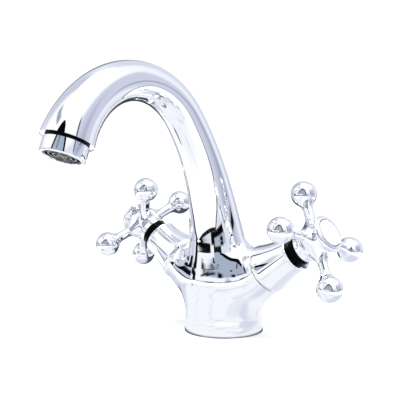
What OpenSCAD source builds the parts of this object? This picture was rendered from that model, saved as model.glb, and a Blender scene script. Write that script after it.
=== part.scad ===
// Basin mixer tap with an arched spout and two cross-head handles.
// The origin is the centre of the foot on the basin top. The spout points along -Y, the cold
// valve lies along +X and the hot valve along -X. All lengths are in millimetres.

/* [Body] */
// Diameter of the foot that stands on the basin
foot_d = 50; // [48:0.5:53]
// Diameter of the straight part above the foot
waist_d = 48.4; // [47:0.2:49.5]
// Height of the straight part
waist_h = 17; // [14:0.5:19]
// Height at which the two valve axes would cross
axis_z = 22.2; // [21.4:0.2:23]
// Tilt of the valve axes above level
axis_tilt = 31; // [29:0.5:33]
// Distance from that crossing to the end of each arm
arm_len = 38.4; // [37.6:0.2:40]
// Diameter of an arm at its end
arm_d = 30; // [29:0.5:31]
// How much wider an arm's radius is at its root
arm_flare = 5.5; // [4.5:0.1:6]
// Depth of an arm's root behind its end
arm_root = 28; // [26:0.5:29]
// Height at which the trunk's front is fullest
belly_h = 36.5; // [33:0.5:40]
// How far the trunk's front reaches at that height
belly_reach = 27.9; // [26.5:0.1:28.5]

/* [Spout] */
// Height at which the spout is brazed to the body
neck_z = 62; // [58:0.5:66]
// How far that joint lies in front of the foot's centre
neck_y = 8.6; // [7:0.2:10]
// Diameter at the joint
neck_d = 34.2; // [32:0.2:36]
// Forward lean of the spout at the joint
neck_lean = 7.2; // [5:0.2:9]
// Bend radius of the riser
riser_r = 146; // [130:1:160]
// Lean at which the riser turns into the arch
arch_lean = 38.4; // [35:0.2:42]
// Bend radius of the arch
arch_r = 55; // [50:0.5:60]
// Lean of the outlet, where 180 points straight down
outlet_lean = 156.5; // [150:0.5:165]
// Diameter of the spout at its slimmest
slim_d = 22.1; // [20:0.1:24]
// Diameter of the collar round the outlet
collar_d = 30; // [28.5:0.1:31]
// Diameter of the waterway in the spout
water_d = 13; // [10:0.5:14]
// Diameter of the spigot on the spout's foot
spigot_d = 19; // [17:0.5:21]
// Length of that spigot
spigot_len = 8; // [5:0.5:10]

/* [Outlet] */
// Diameter of the aerator's thread in the collar
nozzle_thread_d = 24; // [23:0.1:25]
// Depth of the threaded pocket in the collar
nozzle_depth = 9; // [8:0.5:10]
// Diameter of the aerator's visible sleeve
sleeve_d = 24.9; // [24:0.1:27]
// Length of the aerator's visible sleeve
sleeve_h = 8.5; // [7:0.5:10]
// Wall of the aerator housing
sleeve_wall = 1.4; // [1.1:0.1:1.8]
// Thickness of the aerator's washer
nozzle_washer_h = 1.6; // [1:0.1:2]
// Number of rings in the outlet grille
grille_rings = 4; // [3:1:5]
// Number of spokes in the outlet grille
grille_spokes = 6; // [4:1:8]

/* [Inlets and fixing] */
// Tapping diameter of each inlet for its flexible tail
inlet_d = 9; // [8:0.1:10]
// Distance between the two inlets
inlet_pitch = 19; // [18:0.5:21]
// Tapping diameter of the fixing stud's hole
stud_d = 6.8; // [6:0.1:8.5]
// Distance of the fixing stud in front of the foot's centre
stud_y = 13; // [12:0.5:14]
// Depth of the fixing stud's hole
stud_depth = 12; // [10:0.5:14]
// Outside diameter of the foot gasket
gasket_d = 46; // [44:0.5:46.5]
// Width of the foot gasket
gasket_w = 3.6; // [3:0.2:4]
// Thickness of the foot gasket
gasket_h = 2; // [1.5:0.1:2.5]

/* [Valves] */
// Diameter of the headwork's thread in an arm
socket_d = 20.4; // [20:0.1:21]
// Length of that thread
socket_thread = 11.5; // [10:0.5:12.5]
// Depth of the valve seat below the arm's end
seat_depth = 22; // [21:0.5:22.5]
// Diameter of the port in the valve seat
seat_port_d = 10; // [8:0.5:11]
// Diameter of the ceramic discs
disc_d = 14.2; // [13.6:0.1:14.6]
// Thickness of each ceramic disc
disc_h = 3; // [2.6:0.1:3.2]
// Thickness of the rubber seat seal when squeezed
seat_seal_h = 2.4; // [2:0.1:2.8]
// Diameter of the valve spindle
spindle_d = 9; // [8.6:0.1:9.4]
// Width of the square on the spindle's end
square_w = 6.2; // [5.6:0.1:6.2]
// Size across the flats of the headwork's hexagon
hex_af = 19; // [18:0.5:20]
// Height of the headwork's hexagon
hex_h = 7; // [5:0.5:8]
// Angle that each port spans in the ceramic discs
port_angle = 76; // [60:1:80]

/* [Bell covers] */
// Length of a bell cover
bell_len = 25; // [23:0.5:27]
// Diameter of a bell cover at its rim
bell_rim_d = 23.2; // [22.4:0.2:24.6]
// Bulge of a bell cover's wide end beyond the arm's radius
bell_bulge = 0.4; // [0.2:0.1:0.6]
// Diameter of the thread that holds a bell cover
bell_thread_d = 16; // [15.6:0.1:16.6]
// Outside diameter of the black gland ring
gland_d = 18; // [17.6:0.1:19]
// Length of the black gland ring
gland_len = 7.5; // [6.5:0.5:8.5]

/* [Handles] */
// Distance from a handle's axis to the centre of each ball
handle_reach = 31.5; // [29:0.5:34]
// Diameter of the balls
ball_d = 15.6; // [14:0.2:17]
// Diameter of a handle arm at its slimmest
arm_neck_d = 6; // [5.2:0.2:7]
// Distance from a handle's axis to that slimmest place
arm_neck_at = 20; // [19:0.5:21]
// Diameter of the hub's round body
hub_d = 22; // [21:0.5:23]
// Diameter of the skirt that faces the bell cover
skirt_d = 19.4; // [18.6:0.2:20]
// Height of the arms above the skirt's lower edge
arms_up = 10.3; // [9.5:0.1:11]
// Diameter of the hub's front rim
rim_d = 22.8; // [21.6:0.2:24]
// Height of the rim's top above the arms
rim_up = 10.8; // [10.2:0.1:11.4]
// Diameter of the round button in the rim
button_d = 16.8; // [15.6:0.2:17.4]
// Turn of the cold handle about its axis
cold_turn = -18.4; // [-45:0.1:45]
// Turn of the hot handle about its axis
hot_turn = 26.9; // [-45:0.1:45]
// Diameter of the handle screw
screw_d = 4; // [3:0.5:4]

/* [Fit] */
// Radial gap between a turning spindle and its guide
run_gap = 0.05; // [0.03:0.01:0.08]
// Gap between the two ceramic discs
disc_gap = 0.03; // [0.02:0.01:0.05]
// Radial gap between threads and between brazed or pushed pieces
seat_gap = 0.05; // [0.02:0.01:0.1]
// Axial gap between a turning handle and its gland ring
handle_gap = 0.4; // [0.3:0.05:0.6]

/* [Hidden] */
$fn = 72;
eps = 0.5;
rest_gap = 0.2;

foot_r = foot_d / 2;
waist_r = waist_d / 2;
foot_edge = 1.5;
foot_lip = 8;
flare_power = 1.4;
arm_r = arm_d / 2;
neck_r = neck_d / 2;
slim_r = slim_d / 2;
water_r = water_d / 2;

// Spout path. A lean of 0 points up and one of 90 points forward.
riser_len = riser_r * (arch_lean - neck_lean) * PI / 180;
arch_len = arch_r * (outlet_lean - arch_lean) * PI / 180;
spout_len = riser_len + arch_len;
riser_centre = [neck_y, neck_z] + riser_r * [cos(neck_lean), -sin(neck_lean)];
arch_start = riser_centre + riser_r * [-cos(arch_lean), sin(arch_lean)];
arch_centre = arch_start + arch_r * [cos(arch_lean), -sin(arch_lean)];
outlet_at = arch_centre + arch_r * [-cos(outlet_lean), sin(outlet_lean)];
sweep_sides = 36;
riser_steps = 11;
arch_steps = 24;

// The spout tapers from the neck to its slimmest place and swells again to the collar.
taper_end = 0.9;
taper_power = 4.77;
swell_start = 0.51;
swell_power = 2.55;
neck_slope = -taper_power * (neck_r - slim_r) / (taper_end * spout_len);
collar_edge = 0.5;
pocket_r = nozzle_thread_d / 2;

// Heights on a valve axis are counted outward from the arm's end.
chamber_d = socket_d - 1.4;
cage_r = chamber_d / 2 - 0.7;
seal_top = -seat_depth + seat_seal_h;
lower_top = seal_top + disc_h;
upper_bottom = lower_top + disc_gap;
upper_top = upper_bottom + disc_h;
foot_h = 2.4;
foot_bottom = upper_top + disc_gap;
foot_top = foot_bottom + foot_h;
washer_h = 0.8;
washer_bottom = foot_top + run_gap;
cage_top = washer_bottom + washer_h;
spindle_r = spindle_d / 2;
guide_r = spindle_r + run_gap;
disc_chamber_r = disc_d / 2 + 0.15;
flange_h = 2;
hex_top = flange_h + hex_h;
bell_thread_r = bell_thread_d / 2;
gland_bottom = bell_len - 2;
gland_top = gland_bottom + gland_len;
nose_r = bell_thread_r - 1;
nose_top = gland_top - 0.7;
clip_h = 0.8;
clip_gap = 0.1;
clip_bottom = nose_top + clip_gap;
clip_top = clip_bottom + clip_h;
skirt_bottom = gland_top + handle_gap;
arms_at = skirt_bottom + arms_up;
rim_top = arms_at + rim_up;
rim_round = 1.6;
button_h = 2.4;
button_floor = rim_top - button_h;
head_h = 3;
head_floor = button_floor - head_h - 1;
square_top = head_floor - 2.2;
seal_grooves = [3.5, 7.5];
seal_t = 1.1;
flange_seal_t = 1.3;
flange_seal_w = 1.4;
seal_pocket_r = socket_d / 2 + flange_seal_w + 0.1;
flange_r = seal_pocket_r + 0.7;
ball_r = ball_d / 2;
arm_neck_r = arm_neck_d / 2;
hub_r = hub_d / 2;
chrome = [0.86, 0.88, 0.92];
brass = [0.80, 0.66, 0.36];
rubber = [0.12, 0.12, 0.13];
ceramic = [0.93, 0.92, 0.88];
steel = [0.68, 0.69, 0.71];
white = [0.97, 0.97, 0.95];

// Points of an arc in a plane, as a list
function arc(centre, r, from, to, steps = 8) =
  [for (k = [0:steps]) let (a = from + (to - from) * k / steps) centre + r * [cos(a), sin(a)]];

// A ring of points round the path, where y counts forward
function ring(y, z, lean, r) =
  [for (k = [0:sweep_sides - 1]) let (a = 360 * k / sweep_sides)
    [r * cos(a), -y + r * sin(a) * cos(lean), z + r * sin(a) * sin(lean)]];

// Triangles that join a stack of rings and close both ends
function ring_faces(n) = concat(
  [[for (k = [0:sweep_sides - 1]) k]],
  [for (j = [0:n - 2], k = [0:sweep_sides - 1], half = [0, 1])
    let (a = j * sweep_sides + k, b = j * sweep_sides + (k + 1) % sweep_sides)
      half == 0 ? [a, a + sweep_sides, b] : [b, a + sweep_sides, b + sweep_sides]],
  [[for (k = [sweep_sides - 1:-1:0]) (n - 1) * sweep_sides + k]]);

module sweep(rings) {
  polyhedron(points = [for (r = rings) each r], faces = ring_faces(len(rings)), convexity = 4);
}

// Smooth blend between two values with given slopes at the ends
function blend(a, slope_a, b, slope_b, t) =
  a * (2 * pow(t, 3) - 3 * t * t + 1) + b * (3 * t * t - 2 * pow(t, 3))
  + slope_a * (pow(t, 3) - 2 * t * t + t) + slope_b * (pow(t, 3) - t * t);

// Radius of the spout at a distance along its path
function spout_r(s) = let (u = s / spout_len)
  slim_r + (neck_r - slim_r) * pow(max(0, 1 - u / taper_end), taper_power)
  + (collar_d / 2 - slim_r) * pow(max(0, (u - swell_start) / (1 - swell_start)), swell_power);

module ring_between(r_in, r_out, h) {
  difference() {
    cylinder(r = r_out, h = h);
    translate([0, 0, -eps]) cylinder(r = r_in, h = h + 2 * eps);
  }
}

// Draws its children on the cold valve's axis, or mirrored on the hot one
module on_valve(side) {
  mirror([side == "hot" ? 1 : 0, 0, 0])
    translate([0, 0, axis_z])
      rotate([0, 90 - axis_tilt, 0])
        translate([0, 0, arm_len]) children();
}

function handle_turn(side) = side == "hot" ? hot_turn : cold_turn;

module on_both_valves() {
  on_valve("hot") children();
  on_valve("cold") children();
}

// Draws its children on the outlet's axis, where z counts out of the spout
module on_outlet() {
  translate([0, -outlet_at[0], outlet_at[1]]) rotate([outlet_lean, 0, 0]) children();
}

// Draws its children on the joint between body and spout, where z counts up the spout
module on_neck() {
  translate([0, -neck_y, neck_z]) rotate([neck_lean, 0, 0]) children();
}

// Reach of the trunk's front at a height: out to the belly, then in to the neck
function front_reach(z) = z < belly_h
  ? blend(waist_r, 0, belly_reach, 0, (z - waist_h) / (belly_h - waist_h))
  : let (rise = neck_z - belly_h)
    blend(belly_reach, 0, neck_r + neck_y, rise * (neck_slope + tan(neck_lean)), (z - belly_h) / rise);

// Reach of the trunk's back at a height
function back_reach(z) = let (rise = neck_z - waist_h)
  blend(waist_r, 0, neck_r - neck_y, rise * (neck_slope - tan(neck_lean)), (z - waist_h) / rise);

// Trunk of the body, from the round foot to the neck that carries the spout
module trunk() {
  steps = 12;
  lean_early = 1.6;
  rings = [for (k = [0:steps])
    let (t = k / steps, z = waist_h + (neck_z - waist_h) * t, front = front_reach(z), back = back_reach(z))
      ring((front - back) / 2, z, neck_lean * min(1, lean_early * t), (front + back) / 2)];
  sweep(concat([ring(0, 0, 0, foot_r), ring(0, foot_edge, 0, foot_r), ring(0, foot_lip, 0, waist_r)], rings));
}

module arm_form() {
  steps = 8;
  rotate_extrude()
    polygon(concat([[0, 0], [0, -arm_root]],
      [for (k = [0:steps]) let (v = 1 - k / steps) [arm_r + arm_flare * pow(v, flare_power), -arm_root * v]]));
}

// Pocket in an arm for the valve, with its seat and inlet port
module valve_pocket() {
  port_len = 8;
  translate([0, 0, -socket_thread]) cylinder(d = socket_d, h = socket_thread + eps);
  translate([0, 0, -seat_depth]) cylinder(d = chamber_d, h = seat_depth);
  translate([0, 0, -seat_depth - port_len]) cylinder(d = seat_port_d, h = port_len + eps);
  translate([0, 0, -flange_seal_t]) cylinder(r = seal_pocket_r, h = flange_seal_t + eps);
}

module body_casting() {
  inlet_top = axis_z + 5;
  mix_up = 15.8;
  mix_z = axis_z + mix_up;
  mix_d = 8;
  mix_len = 24;
  mix_y = neck_y - (neck_z - mix_z) * tan(neck_lean);
  color(chrome) difference() {
    union() {
      trunk();
      on_both_valves() arm_form();
    }
    on_both_valves() valve_pocket();
    for (side = [-1, 1])
      translate([side * inlet_pitch / 2, 0, -eps]) cylinder(d = inlet_d, h = inlet_top + eps);
    translate([0, -stud_y, -eps]) cylinder(d = stud_d, h = stud_depth + eps);
    // Mixing passage between the two valves and up to the spout
    translate([-mix_len / 2, -mix_y, mix_z]) rotate([0, 90, 0]) cylinder(d = mix_d, h = mix_len);
    on_neck() {
      translate([0, 0, mix_z - neck_z]) cylinder(r = water_r, h = neck_z - mix_z + eps);
      translate([0, 0, -spigot_len - rest_gap]) cylinder(d = spigot_d, h = spigot_len + rest_gap + eps);
    }
    translate([0, 0, -eps])
      ring_between(gasket_d / 2 - gasket_w - rest_gap, gasket_d / 2 + rest_gap, gasket_h + 0.1 + eps);
  }
}

module spout_casting() {
  riser_rings = [for (k = [0:riser_steps])
    let (a = neck_lean + (arch_lean - neck_lean) * (k + 0.6) / (riser_steps + 0.6),
         s = riser_r * (a - neck_lean) * PI / 180)
      ring(riser_centre[0] - riser_r * cos(a), riser_centre[1] + riser_r * sin(a), a, spout_r(s))];
  arch_rings = [for (k = [1:arch_steps])
    let (a = arch_lean + (outlet_lean - arch_lean) * k / arch_steps,
         s = riser_len + arch_r * (a - arch_lean) * PI / 180)
      ring(arch_centre[0] - arch_r * cos(a), arch_centre[1] + arch_r * sin(a), a,
        spout_r(s) - (k == arch_steps ? collar_edge : 0))];
  core_swell = 0.4;
  below = spigot_len + 0.5;
  bore_lean = neck_lean - (spigot_len + 1.5) / riser_r * 180 / PI;
  root = ring(neck_y - below * sin(neck_lean), neck_z - below * cos(neck_lean), neck_lean,
    neck_r - below * neck_slope);
  color(chrome) difference() {
    sweep(concat([root], riser_rings, arch_rings));
    // The foot is turned down to a spigot below the joint
    on_neck() translate([0, 0, -spigot_len - 2])
      ring_between(spigot_d / 2 - seat_gap, 2 * neck_r, spigot_len + 2);
    on_neck() translate([0, 0, -spigot_len - 2]) cylinder(r = 2 * neck_r, h = 2);
    // Waterway, with a small swell where the cores of riser and arch met
    translate([0, -riser_centre[0], riser_centre[1]]) rotate([90, 0, 90]) rotate([0, 0, bore_lean])
      rotate_extrude(angle = arch_lean - bore_lean) translate([riser_r, 0]) circle(r = water_r);
    translate([0, -arch_centre[0], arch_centre[1]]) rotate([90, 0, 90]) rotate([0, 0, arch_lean])
      rotate_extrude(angle = outlet_lean - arch_lean) translate([arch_r, 0]) circle(r = water_r);
    translate([0, -arch_start[0], arch_start[1]]) sphere(r = water_r + core_swell);
    on_outlet() translate([0, 0, -nozzle_depth]) cylinder(r = pocket_r, h = nozzle_depth + eps);
  }
}

module base_gasket() {
  color(rubber) ring_between(gasket_d / 2 - gasket_w, gasket_d / 2, gasket_h);
}

// Aerator: a threaded sleeve that holds a jet insert and a ringed grille
insert_r = pocket_r - seat_gap - sleeve_wall;
insert_bottom = -nozzle_depth + nozzle_washer_h;
insert_h = 10;
grille_h = 1.2;
lip_h = 0.9;
grille_bottom = sleeve_h - lip_h - grille_h;

module aerator_washer() {
  color(rubber) on_outlet() translate([0, 0, -nozzle_depth])
    ring_between(water_r + 1, pocket_r - 0.3, nozzle_washer_h);
}

module aerator_housing() {
  color(chrome) on_outlet() difference() {
    union() {
      translate([0, 0, insert_bottom]) cylinder(r = pocket_r - seat_gap, h = -insert_bottom + eps);
      translate([0, 0, 0.4]) cylinder(d = sleeve_d, h = sleeve_h - 0.9);
      translate([0, 0, sleeve_h - 0.5]) cylinder(d1 = sleeve_d, d2 = sleeve_d - 1, h = 0.5);
    }
    translate([0, 0, insert_bottom - eps])
      cylinder(r = insert_r, h = sleeve_h - lip_h - insert_bottom + eps);
    translate([0, 0, sleeve_h - lip_h - eps]) cylinder(r = insert_r - 1, h = lip_h + 2 * eps);
  }
}

module aerator_insert() {
  jets = 12;
  color(steel) on_outlet() translate([0, 0, insert_bottom]) difference() {
    cylinder(r = insert_r - seat_gap, h = insert_h);
    translate([0, 0, 2.5]) cylinder(r = insert_r - 1.6, h = insert_h);
    for (k = [0:jets - 1])
      rotate([0, 0, 360 * k / jets]) translate([insert_r - 3.6, 0, -eps]) cylinder(d = 1.6, h = 4, $fn = 16);
  }
}

module aerator_grille() {
  grille_r = insert_r - seat_gap;
  pitch = (grille_r - 0.6) / grille_rings;
  color(steel) on_outlet() translate([0, 0, grille_bottom]) {
    for (k = [1:grille_rings])
      ring_between(k * pitch - 0.4, k == grille_rings ? grille_r : k * pitch + 0.4, grille_h);
    cylinder(r = 0.9, h = grille_h, $fn = 24);
    for (k = [0:grille_spokes - 1])
      rotate([0, 0, 360 * k / grille_spokes]) translate([0, -0.35, 0]) cube([grille_r - 0.4, 0.7, grille_h]);
  }
}

// Fixed body of a quarter-turn valve, screwed into an arm
module headwork_body(side) {
  cage_bottom = -seat_depth + 1;
  color(brass) on_valve(side) difference() {
    union() {
      translate([0, 0, cage_bottom]) cylinder(r = cage_r, h = -socket_thread - cage_bottom);
      translate([0, 0, -socket_thread]) cylinder(r = socket_d / 2 - seat_gap, h = socket_thread);
      cylinder(r = flange_r, h = flange_h);
      translate([0, 0, flange_h]) cylinder(d = hex_af / cos(30), h = hex_h, $fn = 6);
      translate([0, 0, hex_top]) cylinder(r = bell_thread_r - seat_gap, h = gland_bottom - hex_top);
      translate([0, 0, gland_bottom]) cylinder(r = nose_r, h = nose_top - gland_bottom);
    }
    translate([0, 0, cage_bottom - eps]) cylinder(r = disc_chamber_r, h = cage_top - cage_bottom + eps);
    translate([0, 0, cage_top - eps]) cylinder(r = guide_r, h = nose_top - cage_top + 2 * eps);
    // Slots that hold the fixed disc, and windows that let the water out above the discs
    translate([-socket_d, -1.6, cage_bottom - eps]) cube([2 * socket_d, 3.2, lower_top - cage_bottom + eps]);
    translate([-3, -socket_d, upper_top]) cube([6, 2 * socket_d, foot_h]);
  }
}

module flange_seal(side) {
  color(rubber) on_valve(side) translate([0, 0, -flange_seal_t])
    ring_between(socket_d / 2, socket_d / 2 + flange_seal_w, flange_seal_t);
}

module seat_seal(side) {
  color(rubber) on_valve(side) translate([0, 0, -seat_depth])
    ring_between(disc_d / 2 - 1.3, disc_d / 2, seat_seal_h);
}

// Ceramic disc with two ports opposite each other
module ported_disc() {
  difference() {
    cylinder(d = disc_d, h = disc_h);
    for (turn = [0, 180])
      rotate([0, 0, turn - port_angle / 2]) translate([0, 0, -eps])
        rotate_extrude(angle = port_angle) translate([1.8, 0]) square([disc_d / 2 - 3.2, disc_h + 2 * eps]);
  }
}

module lower_disc(side) {
  color(ceramic) on_valve(side) translate([0, 0, seal_top]) {
    ported_disc();
    for (turn = [0, 180])
      rotate([0, 0, turn]) translate([disc_d / 2 - 0.6, -1.5, 0]) cube([1.3, 3, disc_h]);
  }
}

module upper_disc(side) {
  color(white) on_valve(side) translate([0, 0, upper_bottom]) difference() {
    rotate([0, 0, 90]) ported_disc();
    translate([-disc_d, -1.2, disc_h - 1]) cube([2 * disc_d, 2.4, 2]);
  }
}

module thrust_washer(side) {
  color(white) on_valve(side) translate([0, 0, washer_bottom])
    ring_between(guide_r + 0.1, disc_chamber_r - 0.1, washer_h);
}

// Turning spindle, with a foot that drives the upper disc and a square for the handle
module spindle(side) {
  tapping = 9;
  color(brass) on_valve(side) difference() {
    union() {
      translate([0, 0, foot_bottom]) intersection() {
        cylinder(r = disc_d / 2 - 0.3, h = foot_h);
        translate([-disc_d, -spindle_r, 0]) cube([2 * disc_d, spindle_d, foot_h]);
      }
      translate([0, 0, foot_bottom - 0.9]) intersection() {
        cylinder(r = disc_d / 2 - 1, h = 1);
        translate([-disc_d, -1.1, 0]) cube([2 * disc_d, 2.2, 1]);
      }
      translate([0, 0, foot_bottom]) cylinder(r = spindle_r, h = clip_top + 0.4 - foot_bottom);
      // The square is set at the handle's angle
      rotate([0, 0, handle_turn(side)]) translate([-square_w / 2, -square_w / 2, clip_top])
        cube([square_w, square_w, square_top - clip_top]);
    }
    for (z = seal_grooves)
      translate([0, 0, z]) ring_between(spindle_r - seal_t, spindle_r + 1, seal_t + 0.3);
    translate([0, 0, clip_bottom]) ring_between(spindle_r - 0.7, spindle_r + 1, clip_h);
    translate([0, 0, square_top - tapping]) cylinder(d = screw_d, h = tapping + eps);
  }
}

module spindle_seals(side) {
  seal_r = (seal_t - 0.02) / 2;
  color(rubber) on_valve(side)
    for (z = seal_grooves)
      translate([0, 0, z + seal_t / 2 + 0.15])
        rotate_extrude() translate([guide_r - 0.03 - seal_r, 0]) circle(r = seal_r, $fn = 24);
}

module spindle_clip(side) {
  color(steel) on_valve(side) translate([0, 0, clip_bottom]) difference() {
    ring_between(spindle_r - 0.65, nose_r - 0.4, clip_h);
    translate([0, -1.5, -eps]) cube([2 * nose_r, 3, 2]);
  }
}

// Outer line of a bell cover, from its wide end to its rim
bell_wide_r = arm_r + bell_bulge;
bell_rim_r = bell_rim_d / 2;
bell_sag = 0.9;
bell_end_gap = 0.15;

module bell_cover(side) {
  steps = 8;
  low = 2.6;
  high = bell_len - 1.2;
  neck = bell_rim_r - 0.25;
  outer = [for (k = [0:steps]) let (t = k / steps)
    [bell_wide_r + (neck - bell_wide_r) * t - 4 * bell_sag * t * (1 - t), low + (high - low) * t]];
  inner_neck = bell_thread_r;
  pocket = gland_d / 2 + 0.1;
  color(chrome) on_valve(side) rotate_extrude() polygon(concat(
    [[flange_r + 0.3, bell_end_gap], [arm_r - 0.3, bell_end_gap], [arm_r + 0.1, 0.8]],
    outer,
    [[bell_rim_r, bell_len - 0.8], [bell_rim_r - 0.1, bell_len - 0.3], [bell_rim_r - 0.5, bell_len],
     [pocket, bell_len], [pocket, gland_bottom - 0.3], [inner_neck, gland_bottom - 0.3],
     [inner_neck, gland_bottom - 7], [hex_af / sqrt(3) + 0.4, hex_top + 0.6], [flange_r + 0.3, flange_h + 1]]));
}

module gland_ring(side) {
  r = gland_d / 2;
  color(rubber) on_valve(side) rotate_extrude() polygon([
    [nose_r + seat_gap, gland_bottom], [r, gland_bottom], [r, gland_top - 2.6],
    [r - 0.4, gland_top - 2.3], [r, gland_top - 2], [r, gland_top - 0.4], [r - 0.4, gland_top],
    [nose_r + seat_gap, gland_top]]);
}

// Half outline of a handle arm, with its axis along y: ball, slim neck and a flare to the hub
module handle_arm_outline() {
  gap = handle_reach - arm_neck_at;
  round_r = (arm_neck_r * arm_neck_r + gap * gap - ball_r * ball_r) / (2 * (ball_r - arm_neck_r));
  round_at = [arm_neck_r + round_r, arm_neck_at];
  meet = [0, handle_reach] + ball_r * (round_at - [0, handle_reach]) / (round_r + ball_r);
  flare_r = 2.8;
  flare_edge = arm_neck_r + flare_r;
  flare_at = sqrt(hub_r * hub_r - flare_edge * flare_edge) + flare_r - 0.3;
  intersection() {
    union() {
      translate([0, handle_reach]) circle(r = ball_r);
      difference() {
        translate([0, arm_neck_at]) square([meet[0], meet[1] - arm_neck_at]);
        translate(round_at) circle(r = round_r);
      }
      square([arm_neck_r, arm_neck_at]);
      difference() {
        translate([0, flare_at - flare_r]) square([flare_edge, flare_r]);
        translate([flare_edge, flare_at]) circle(r = flare_r);
      }
    }
    square([2 * ball_r, 2 * handle_reach]);
  }
}

// Half outline of the hub: skirt, and the rim that holds the button
module hub_outline() {
  rim_r = rim_d / 2;
  skirt_r = skirt_d / 2;
  rim_at = rim_top - 0.4 - rim_round;
  rim_from = -60;
  rim_to = 80;
  waist = 0.6;
  polygon(concat(
    [[0, skirt_bottom], [skirt_r - 0.6, skirt_bottom], [skirt_r, skirt_bottom + 0.6]],
    [for (k = [1:6]) let (t = k / 6) [skirt_r - waist * sin(150 * t), skirt_bottom + 0.6 + (arms_up - 0.6) * t]],
    [[hub_r - 1.9, rim_at - 2.6], [hub_r - 1.6, rim_at - 1.9]],
    arc([rim_r - rim_round, rim_at], rim_round, rim_from, rim_to, 7),
    [[button_d / 2 + 0.3, rim_top], [0, rim_top]]));
}

module handle(side) {
  color(chrome) on_valve(side) rotate([0, 0, handle_turn(side)]) difference() {
    union() {
      rotate_extrude() hub_outline();
      translate([0, 0, arms_at]) {
        sphere(r = hub_r);
        for (k = [0:3])
          rotate([0, 0, 90 * k]) rotate([0, 90, 0]) rotate_extrude() handle_arm_outline();
      }
    }
    translate([0, 0, arms_at - hub_r - eps]) cylinder(r = hub_r, h = skirt_bottom - arms_at + hub_r + eps);
    translate([0, 0, skirt_bottom - eps]) cylinder(r = nose_r + 0.8, h = clip_top + 0.6 - skirt_bottom + eps);
    translate([-square_w / 2 - seat_gap, -square_w / 2 - seat_gap, skirt_bottom])
      cube([square_w + 2 * seat_gap, square_w + 2 * seat_gap, square_top + 0.3 - skirt_bottom]);
    translate([0, 0, skirt_bottom]) cylinder(d = screw_d + 0.6, h = rim_top - skirt_bottom);
    translate([0, 0, head_floor]) cylinder(d = 2.2 * screw_d, h = rim_top - head_floor);
    translate([0, 0, button_floor]) cylinder(d = button_d + 2 * seat_gap, h = button_h + 2);
  }
}

module handle_screw(side) {
  shank_bottom = square_top - 8;
  color(steel) on_valve(side) difference() {
    union() {
      translate([0, 0, shank_bottom]) cylinder(r = screw_d / 2 - seat_gap, h = head_floor - shank_bottom);
      translate([0, 0, head_floor]) cylinder(r = screw_d * 1.05, h = head_h);
    }
    translate([0, 0, head_floor + head_h - 1.6]) cylinder(d = 3.46, h = 2, $fn = 6);
  }
}

module index_button(side) {
  dome = 0.5;
  dome_r = (pow(button_d / 2, 2) + dome * dome) / (2 * dome);
  color(white) on_valve(side) {
    translate([0, 0, button_floor]) cylinder(d = button_d, h = button_h);
    translate([0, 0, rim_top]) intersection() {
      cylinder(d = button_d, h = dome);
      translate([0, 0, dome - dome_r]) sphere(r = dome_r, $fn = 180);
    }
    translate([0, 0, button_floor - 0.7]) cylinder(r = screw_d * 1.1 - seat_gap, h = 0.7);
  }
}

body_casting();
spout_casting();
base_gasket();
aerator_washer();
aerator_housing();
aerator_insert();
aerator_grille();
headwork_body("hot");  // hot_headwork_body
flange_seal("hot");  // hot_flange_seal
seat_seal("hot");  // hot_seat_seal
lower_disc("hot");  // hot_lower_disc
upper_disc("hot");  // hot_upper_disc
thrust_washer("hot");  // hot_thrust_washer
spindle("hot");  // hot_spindle
spindle_seals("hot");  // hot_spindle_seals
spindle_clip("hot");  // hot_spindle_clip
bell_cover("hot");  // hot_bell_cover
gland_ring("hot");  // hot_gland_ring
handle("hot");  // hot_handle
handle_screw("hot");  // hot_handle_screw
index_button("hot");  // hot_index_button
headwork_body("cold");  // cold_headwork_body
flange_seal("cold");  // cold_flange_seal
seat_seal("cold");  // cold_seat_seal
lower_disc("cold");  // cold_lower_disc
upper_disc("cold");  // cold_upper_disc
thrust_washer("cold");  // cold_thrust_washer
spindle("cold");  // cold_spindle
spindle_seals("cold");  // cold_spindle_seals
spindle_clip("cold");  // cold_spindle_clip
bell_cover("cold");  // cold_bell_cover
gland_ring("cold");  // cold_gland_ring
handle("cold");  // cold_handle
handle_screw("cold");  // cold_handle_screw
index_button("cold");  // cold_index_button
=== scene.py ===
import bpy
import math
import numpy as np
from mathutils import Matrix, Vector


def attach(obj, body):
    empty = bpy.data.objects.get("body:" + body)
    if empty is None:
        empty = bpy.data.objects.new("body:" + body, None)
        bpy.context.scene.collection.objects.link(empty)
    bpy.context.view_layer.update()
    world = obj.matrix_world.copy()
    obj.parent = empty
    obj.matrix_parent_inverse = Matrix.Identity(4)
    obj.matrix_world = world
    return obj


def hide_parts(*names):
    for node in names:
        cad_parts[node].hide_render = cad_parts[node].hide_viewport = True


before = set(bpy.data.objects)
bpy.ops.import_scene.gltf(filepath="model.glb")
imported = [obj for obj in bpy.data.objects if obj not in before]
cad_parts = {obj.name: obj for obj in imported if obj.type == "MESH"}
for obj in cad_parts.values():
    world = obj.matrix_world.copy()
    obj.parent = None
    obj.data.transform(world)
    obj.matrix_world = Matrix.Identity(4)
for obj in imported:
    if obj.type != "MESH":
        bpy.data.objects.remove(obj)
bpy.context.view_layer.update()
print("frame loaded,", len(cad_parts), "nodes")


# Small helpers. The plans of the pieces are in millimetres and degrees, and Blender itself is in metres.

def linear(code):
    # sRGB hex to the linear colour that the shaders work in
    parts = [int(code[i:i + 2], 16) / 255 for i in (1, 3, 5)]
    return tuple(c / 12.92 if c <= 0.04045 else ((c + 0.055) / 1.055) ** 2.4 for c in parts) + (1.0,)


def objectMode():
    if bpy.context.mode != "OBJECT":
        bpy.ops.object.mode_set(mode="OBJECT")


def editMode(kind):
    bpy.ops.object.mode_set(mode="EDIT")
    bpy.ops.mesh.select_mode(type=kind)


def clearPick():
    objectMode()
    bpy.ops.object.select_all(action="DESELECT")


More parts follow.
